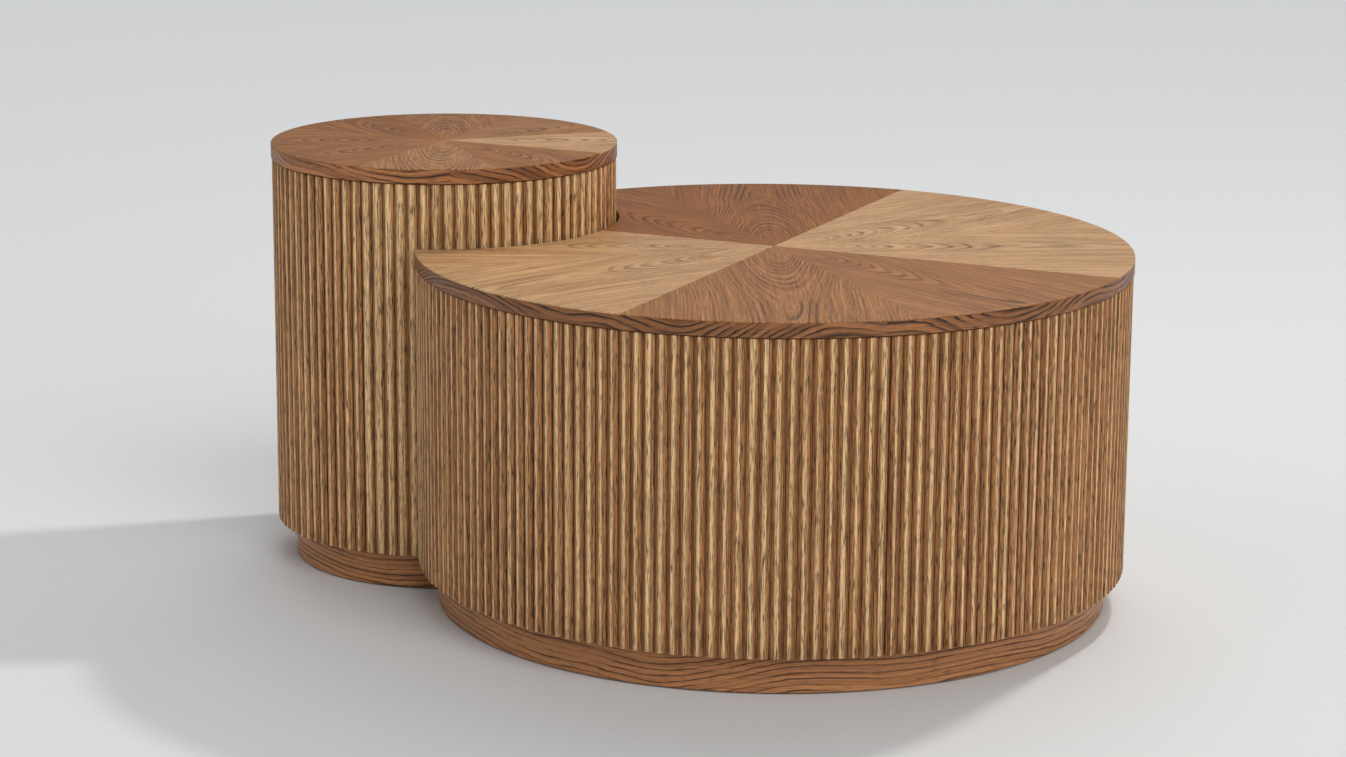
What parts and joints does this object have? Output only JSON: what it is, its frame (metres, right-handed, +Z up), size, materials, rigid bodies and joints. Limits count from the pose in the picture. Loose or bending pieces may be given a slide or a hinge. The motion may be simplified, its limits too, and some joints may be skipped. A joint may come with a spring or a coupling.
{
  "type": "nesting tables",
  "caption": "Pair of round nesting drum tables with fluted sides, recessed plinths and sunburst veneer tops; the tall one stands in a round bite in the low one.",
  "frame": {"origin": "on the floor, at the middle of the nested pair's bounding box in plan", "axes": "+X runs from the small table's axis to the large table's axis, so the small table is at -X; +Z is up"},
  "size_m": [1.1608, 0.9144, 0.5588],
  "materials": {
    "veneer": "satin",
    "lipping": "satin",
    "fluting": "open-pored satin",
    "plinth": "satin",
    "plywood": "unfinished",
    "felt": "felt",
    "screw_steel": "zinc plated"
  },
  "bodies": {
    "large_table": {"large_base_screws": "screw_steel", "large_bite_lipping": "lipping", "large_bite_panel_1": "fluting", "large_bite_panel_2": "fluting", "large_bite_shell": "plywood", "large_corner_bead_back": "fluting", "large_corner_bead_front": "fluting", "large_fluted_panel_1": "fluting", "large_fluted_panel_2": "fluting", "large_fluted_panel_3": "fluting", "large_glides": "felt", "large_lower_deck": "plywood", "large_plinth_bite": "plinth", "large_plinth_blocks": "plywood", "large_plinth_rim": "plinth", "large_plinth_screws": "screw_steel", "large_rib_back": "plywood", "large_rib_front": "plywood", "large_rim_lipping": "lipping", "large_rim_shell_1": "plywood", "large_rim_shell_2": "plywood", "large_rim_shell_3": "plywood", "large_top_core": "plywood", "large_top_screws": "screw_steel", "large_upper_deck": "plywood", "large_veneer_leaf_1": "veneer", "large_veneer_leaf_2": "veneer", "large_veneer_leaf_3": "veneer", "large_veneer_leaf_4": "veneer", "large_veneer_leaf_5": "veneer", "large_veneer_leaf_6": "veneer", "large_veneer_leaf_7": "veneer", "large_veneer_leaf_8": "veneer"},
    "small_table": {"small_base_screws": "screw_steel", "small_fluted_panel_1": "fluting", "small_fluted_panel_2": "fluting", "small_fluted_panel_3": "fluting", "small_fluted_panel_4": "fluting", "small_glides": "felt", "small_lower_deck": "plywood", "small_plinth_blocks": "plywood", "small_plinth_rim": "plinth", "small_plinth_screws": "screw_steel", "small_rib_back": "plywood", "small_rib_front": "plywood", "small_rim_lipping": "lipping", "small_shell": "plywood", "small_top_core": "plywood", "small_top_screws": "screw_steel", "small_upper_deck": "plywood", "small_veneer_leaf_1": "veneer", "small_veneer_leaf_2": "veneer", "small_veneer_leaf_3": "veneer", "small_veneer_leaf_4": "veneer", "small_veneer_leaf_5": "veneer", "small_veneer_leaf_6": "veneer", "small_veneer_leaf_7": "veneer", "small_veneer_leaf_8": "veneer"}
  },
  "joints": [
    {"name": "small_table_pull_out", "type": "slide", "parent": "large_table", "child": "small_table", "axis": [-1, 0, 0], "range_m": [0, 0.4]}
  ]
}
